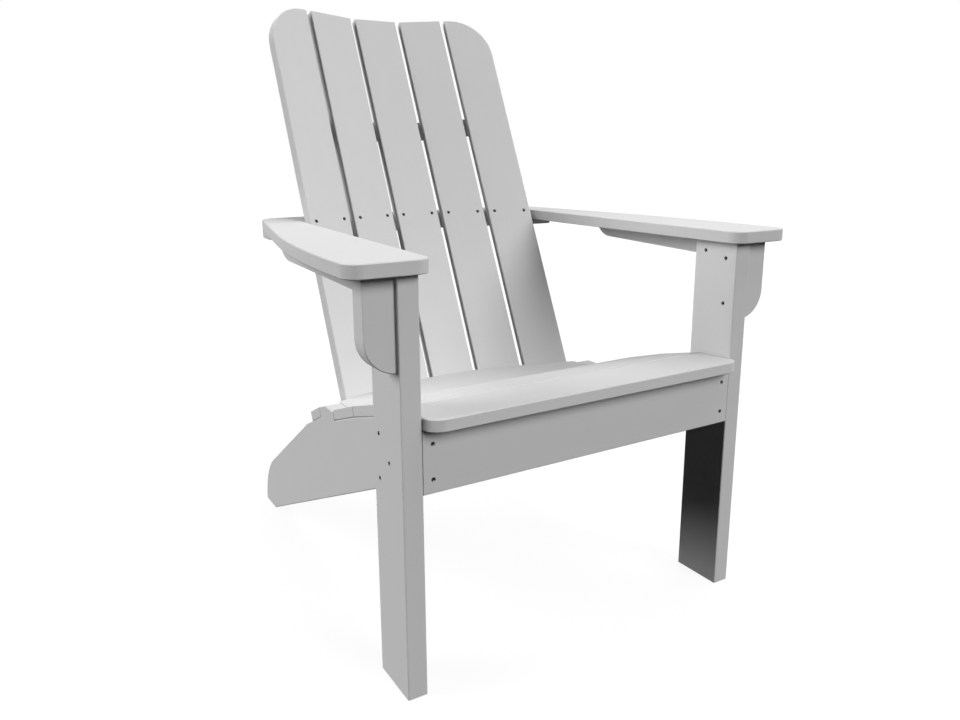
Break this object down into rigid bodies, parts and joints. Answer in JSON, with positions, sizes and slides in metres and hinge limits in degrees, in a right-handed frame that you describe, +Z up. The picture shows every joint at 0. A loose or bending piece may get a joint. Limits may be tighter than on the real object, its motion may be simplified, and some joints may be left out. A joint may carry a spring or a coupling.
{
  "type": "adirondack chair",
  "caption": "Low outdoor armchair: reclined slat back curved round the sitter, sloping slatted seat, wide flat arms on front legs, and rear stringers that reach the ground.",
  "frame": {"origin": "on the ground under the middle of the chair's bounding box", "axes": "+Z up, -Y the way the sitter looks, +X to the right as seen from the front (the left hand of the sitter)"},
  "size_m": [0.76, 0.7819, 0.9982],
  "materials": {
    "lumber": "light grey plastic lumber, fine satin face with eased edges",
    "screw_steel": "dark coated steel deck screws, their heads sunk below the boards"
  },
  "bodies": {
    "root": {"apron_screws": "screw_steel", "arm_rail": "lumber", "arm_rail_screws": "screw_steel", "arm_screws": "screw_steel", "back_screws": "screw_steel", "back_slat_1": "lumber", "back_slat_2": "lumber", "back_slat_3": "lumber", "back_slat_4": "lumber", "back_slat_5": "lumber", "brace_screws": "screw_steel", "bracket_screws": "screw_steel", "cleat_screws": "screw_steel", "front_apron": "lumber", "left_arm": "lumber", "left_arm_bracket": "lumber", "left_arm_cleat": "lumber", "left_front_leg": "lumber", "left_stringer": "lumber", "leg_screws": "screw_steel", "lower_back_rail": "lumber", "lower_rail_screws": "screw_steel", "rear_seat_screws": "screw_steel", "rear_seat_slat": "lumber", "right_arm": "lumber", "right_arm_bracket": "lumber", "right_arm_cleat": "lumber", "right_front_leg": "lumber", "right_stringer": "lumber", "seat_screws": "screw_steel", "seat_slat_1": "lumber", "seat_slat_2": "lumber", "seat_slat_3": "lumber", "seat_slat_4": "lumber", "stringer_screws": "screw_steel", "upper_back_brace": "lumber"}
  },
  "joints": []
}
